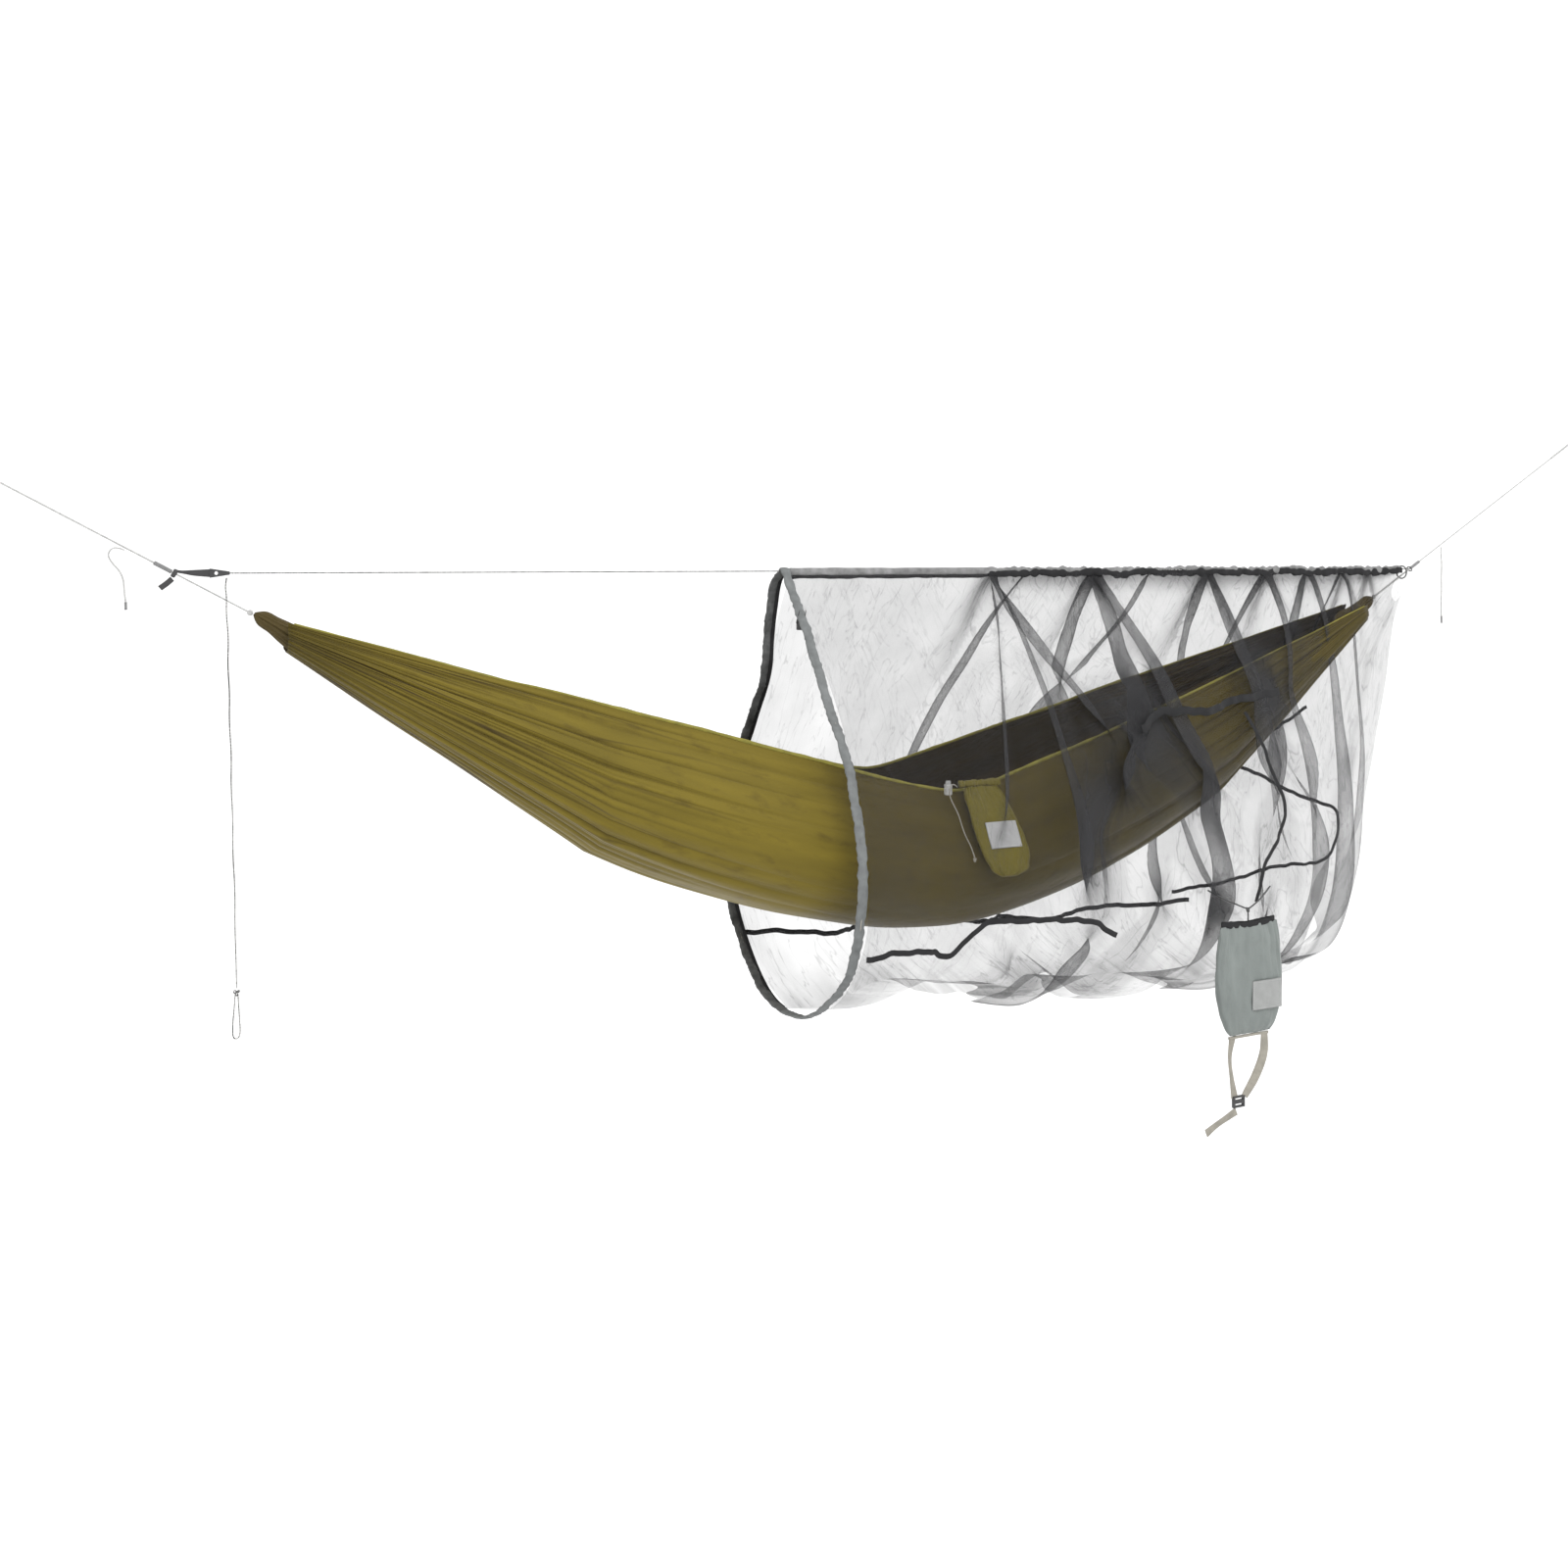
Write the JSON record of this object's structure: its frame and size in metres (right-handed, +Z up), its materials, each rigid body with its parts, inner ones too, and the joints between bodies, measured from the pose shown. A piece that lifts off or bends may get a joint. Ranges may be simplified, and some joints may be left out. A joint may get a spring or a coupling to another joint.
{
  "type": "camping hammock with insect net",
  "caption": "Gathered-end camping hammock on a taut ridgeline, hung between two anchor rings, with a slip-on insect net drawn over its foot half.",
  "frame": {"origin": "bore centre of the left anchor ring", "axes": "+X along the hang line to the right anchor ring, +Z up, -Y the near side of the hammock"},
  "size_m": [3.744, 0.6721, 1.348],
  "materials": {
    "ring_alloy": "satin",
    "rope_grey": "matte",
    "sleeve_grey": "matte",
    "cloth_olive": "satin",
    "hem_lime": "satin",
    "gather_brown": "matte",
    "cord_reflective": "matte",
    "webbing_dark": "matte",
    "cord_dark": "matte",
    "plastic_dark": "matte",
    "mesh_black": "matte",
    "sleeve_mesh_grey": "matte",
    "tape_dark": "matte",
    "binding_light": "matte",
    "binding_dark": "matte",
    "drawcord_grey": "matte",
    "plastic_clear": "satin",
    "spring_steel": "satin",
    "pouch_cloth": "satin",
    "label_grey": "matte",
    "sack_cloth": "satin",
    "webbing_tan": "matte"
  },
  "bodies": {
    "anchors": {"anchor_ring_left": "ring_alloy", "anchor_ring_right": "ring_alloy"},
    "hammock": {"suspension_eye_left": "rope_grey", "suspension_eye_right": "rope_grey", "suspension_line_left": "rope_grey", "suspension_line_right": "rope_grey", "adjuster_sleeve_left": "sleeve_grey", "adjuster_sleeve_right": "sleeve_grey", "end_loop_left": "rope_grey", "end_loop_right": "rope_grey", "end_channel_left": "gather_brown", "end_channel_right": "gather_brown", "hammock_body": "cloth_olive", "rim_hem_near": "hem_lime", "rim_hem_far": "hem_lime", "ridge_strap": "webbing_dark", "ridge_strap_tag": "webbing_dark", "line_lock": "plastic_dark", "ridgeline": "cord_reflective", "ridge_loop_right": "cord_reflective", "net_mesh": "mesh_black", "net_ridge_sleeve": "sleeve_mesh_grey", "net_end_cord": "cord_dark", "net_seam_near": "tape_dark", "net_seam_far": "tape_dark", "pouch_hem": "pouch_cloth"},
    "net_mouth": {"mouth_binding_near": "binding_light", "mouth_binding_far": "binding_dark", "mouth_drawcord": "cord_dark", "mouth_lock_cord": "cord_dark", "mouth_cord_lock": "plastic_dark", "mouth_lock_spring": "spring_steel"},
    "mouth_lock_button": {"mouth_lock_plunger": "plastic_dark"},
    "pouch": {"pouch_body": "pouch_cloth", "pouch_label": "label_grey", "pouch_drawcord": "drawcord_grey", "pouch_cord_lock": "plastic_clear", "pouch_lock_spring": "spring_steel"},
    "pouch_lock_button": {"pouch_lock_plunger": "plastic_clear"},
    "sack_tie_knot": {"sack_tie": "cord_dark"},
    "net_sack": {"sack_body": "sack_cloth", "sack_hem": "tape_dark", "sack_label": "label_grey"},
    "sack_strap": {"sack_straps": "webbing_tan", "sack_buckle": "webbing_tan", "sack_strap_tail": "webbing_tan"},
    "left_tail": {"tail_left": "rope_grey", "tail_left_tip": "cord_dark"},
    "right_tail": {"tail_right": "rope_grey", "tail_right_tip": "rope_grey"},
    "ridge_tail_cord": {"ridge_tail": "cord_reflective", "ridge_tail_knot": "cord_reflective"}
  },
  "joints": [
    {"name": "hammock_swing", "type": "hinge", "parent": "anchors", "child": "hammock", "pos_m": [0, 0, -0.01964], "axis": [1, 0, 0], "range_deg": [-45, 45]},
    {"name": "net_slide", "type": "slide", "parent": "hammock", "child": "net_mouth", "axis": [-1, 0, 0], "range_m": [0, 0.8], "deforming": ["net_mesh", "net_ridge_sleeve", "net_seam_near", "net_seam_far"]},
    {"name": "mouth_lock_press", "type": "slide", "parent": "net_mouth", "child": "mouth_lock_button", "axis": [0, 0, -1], "range_m": [0, 0.004], "stiffness_N_per_m": 300, "springref_m": -0.003, "deforming": ["mouth_lock_spring"]},
    {"name": "pouch_lift", "type": "hinge", "parent": "hammock", "child": "pouch", "pos_m": [1.88, -0.182, -0.697], "axis": [-1, 0, 0], "range_deg": [0, 15]},
    {"name": "pouch_lock_press", "type": "slide", "parent": "pouch", "child": "pouch_lock_button", "axis": [0, 0, -1], "range_m": [0, 0.004], "stiffness_N_per_m": 300, "springref_m": -0.003, "deforming": ["pouch_lock_spring"]},
    {"name": "sack_carry", "type": "slide", "parent": "hammock", "child": "sack_tie_knot", "axis": [-1, 0, 0], "range_m": [0, 0.4]},
    {"name": "sack_swing", "type": "hinge", "parent": "sack_tie_knot", "child": "net_sack", "pos_m": [2.347, -0.33, -0.935], "axis": [0, 1, 0], "range_deg": [-35, 35]},
    {"name": "sack_strap_swing", "type": "hinge", "parent": "net_sack", "child": "sack_strap", "pos_m": [2.348, -0.33, -1.1589], "axis": [1, 0, 0], "range_deg": [-60, 60]},
    {"name": "left_tail_swing", "type": "hinge", "parent": "hammock", "child": "left_tail", "pos_m": [0.5135, -0.004, -0.297], "axis": [0, 1, 0], "range_deg": [-35, 35]},
    {"name": "right_tail_swing", "type": "hinge", "parent": "hammock", "child": "right_tail", "pos_m": [3.202, -0.004, -0.283], "axis": [0, 1, 0], "range_deg": [-25, 25]},
    {"name": "ridge_tail_swing", "type": "hinge", "parent": "hammock", "child": "ridge_tail_cord", "pos_m": [0.669, -0.008, -0.339], "axis": [0, 1, 0], "range_deg": [-12, 40]}
  ],
  "couplings": [
    {"joint": "sack_carry", "follows": "net_slide", "ratio": 0.5}
  ]
}
